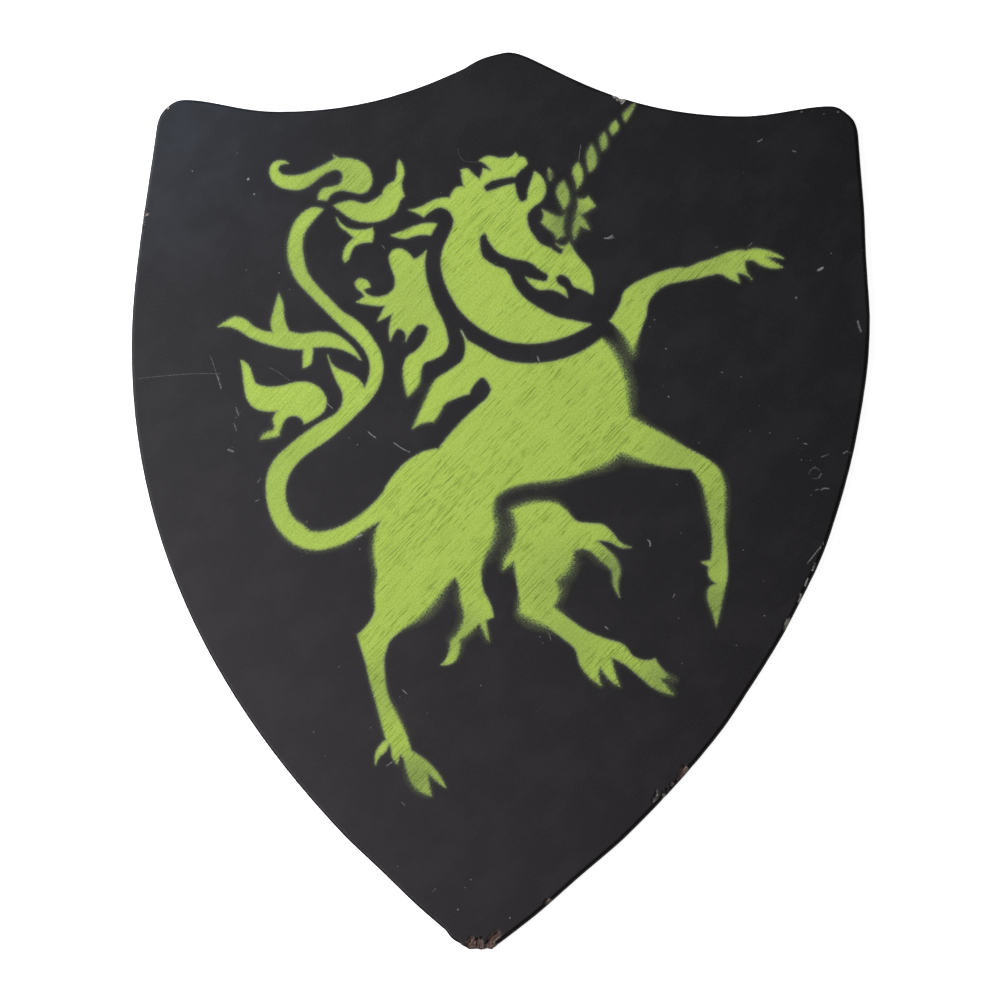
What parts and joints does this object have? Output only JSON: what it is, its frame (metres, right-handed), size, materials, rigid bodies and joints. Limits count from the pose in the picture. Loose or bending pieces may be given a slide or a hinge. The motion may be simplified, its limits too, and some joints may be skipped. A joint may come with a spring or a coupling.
{
  "type": "wooden shield",
  "caption": "Flat heater-shaped wooden play shield, painted black with a green rampant unicorn, with a worn rim and a broken tip.",
  "frame": {"origin": "under the middle of the board, on the plane that its flat back lies on", "axes": "+Z out of the painted face, +Y towards the peak of the top edge, +X to the right seen from the front"},
  "size_m": [0.411, 0.5, 0.006],
  "materials": {
    "painted_plywood": "satin black paint with a lime green sprayed figure, over open-pored veneer"
  },
  "bodies": {
    "root": {"shield_board": "painted_plywood"}
  },
  "joints": []
}
